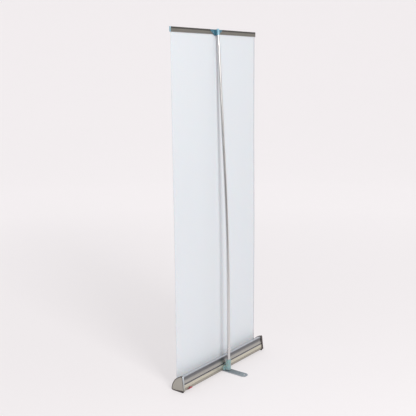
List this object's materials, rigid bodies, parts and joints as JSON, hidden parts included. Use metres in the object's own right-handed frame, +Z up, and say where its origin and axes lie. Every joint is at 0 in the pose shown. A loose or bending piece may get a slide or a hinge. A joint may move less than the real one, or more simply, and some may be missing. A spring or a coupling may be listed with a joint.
{
  "type": "roll-up banner stand",
  "caption": "Free-standing roll-up banner stand: film graphic drawn from a floor cassette to a top rail held by a bowed rear pole, with a swivel foot.",
  "frame": {"origin": "on the floor, under the middle of the stand's bounding box", "axes": "+X along the cassette to its right end seen from the printed face, +Y from the printed face to the pole and foot, +Z up"},
  "size_m": [0.884, 0.2591, 2.1963],
  "materials": {
    "profile": "satin anodised champagne",
    "cap": "moulded blue-grey",
    "cover": "satin anodised champagne",
    "screw": "zinc plated",
    "rubber": "matt",
    "felt": "felt",
    "tube": "polished",
    "steel": "bright",
    "black_plastic": "moulded",
    "film": "matt film",
    "foot_steel": "blue-grey powder coat",
    "teal": "moulded teal",
    "light_blue": "moulded light blue",
    "elastic": "braided elastic",
    "rail": "satin anodised grey",
    "red": "moulded red"
  },
  "bodies": {
    "base": {"cassette_housing": "profile", "end_cap_left": "cap", "end_cap_right": "cap", "end_cap_cover_left": "cover", "end_cap_cover_right": "cover", "end_cap_screws": "screw", "heel_feet": "rubber", "slot_wiper_front": "felt", "slot_wiper_rear": "felt", "idler_axle": "steel", "spring_axle": "steel", "torsion_spring": "steel", "foot_pivot_bolt": "screw", "foot_pivot_nut": "screw", "foot_pivot_washer": "black_plastic", "pole_socket": "teal", "socket_screws": "screw"},
    "foot": {"foot_bar": "foot_steel", "foot_pad": "rubber", "foot_pad_rivet": "screw"},
    "pole": {"pole_lower": "tube", "pole_middle": "tube", "pole_upper": "tube", "ferrule_lower": "tube", "ferrule_upper": "tube", "pole_head": "light_blue", "pole_plug": "black_plastic", "pole_cord": "elastic"},
    "rail": {"rail_rear": "rail", "rail_cap_left": "light_blue", "rail_cap_right": "light_blue", "rail_clip": "teal", "rail_clip_screws": "screw", "graphic_panel": "film"},
    "rail_flap": {"rail_flap": "rail"},
    "roller": {"roller_tube": "tube", "roller_plug_left": "black_plastic", "roller_plug_right": "black_plastic", "spring_anchor": "black_plastic", "wound_graphic": "film"},
    "lock_pin": {"lock_pin": "steel", "lock_pin_tab": "red"}
  },
  "joints": [
    {"name": "foot_swivel", "type": "hinge", "parent": "base", "child": "foot", "pos_m": [0, -0.0627, 0.004], "axis": [0, 0, 1], "range_deg": [0, 90]},
    {"name": "pole_lift", "type": "slide", "parent": "base", "child": "pole", "axis": [0, 0, 1], "range_m": [0, 0.04]},
    {"name": "rail_travel", "type": "slide", "parent": "pole", "child": "rail", "axis": [0, 0, 1], "range_m": [-2.065, 0.005], "deforming": ["graphic_panel"]},
    {"name": "flap_open", "type": "hinge", "parent": "rail", "child": "rail_flap", "pos_m": [0, -0.1108, 2.1893], "axis": [-1, 0, 0], "range_deg": [0, 60]},
    {"name": "roller_spin", "type": "hinge", "parent": "base", "child": "roller", "pos_m": [0, -0.0831, 0.042], "axis": [1, 0, 0], "range_deg": [-26, 6440]},
    {"name": "pin_pull", "type": "slide", "parent": "base", "child": "lock_pin", "axis": [0, 1, 0], "range_m": [0, 0.025]}
  ],
  "couplings": [
    {"joint": "roller_spin", "follows": "rail_travel", "rad_per_m": -54.35}
  ]
}
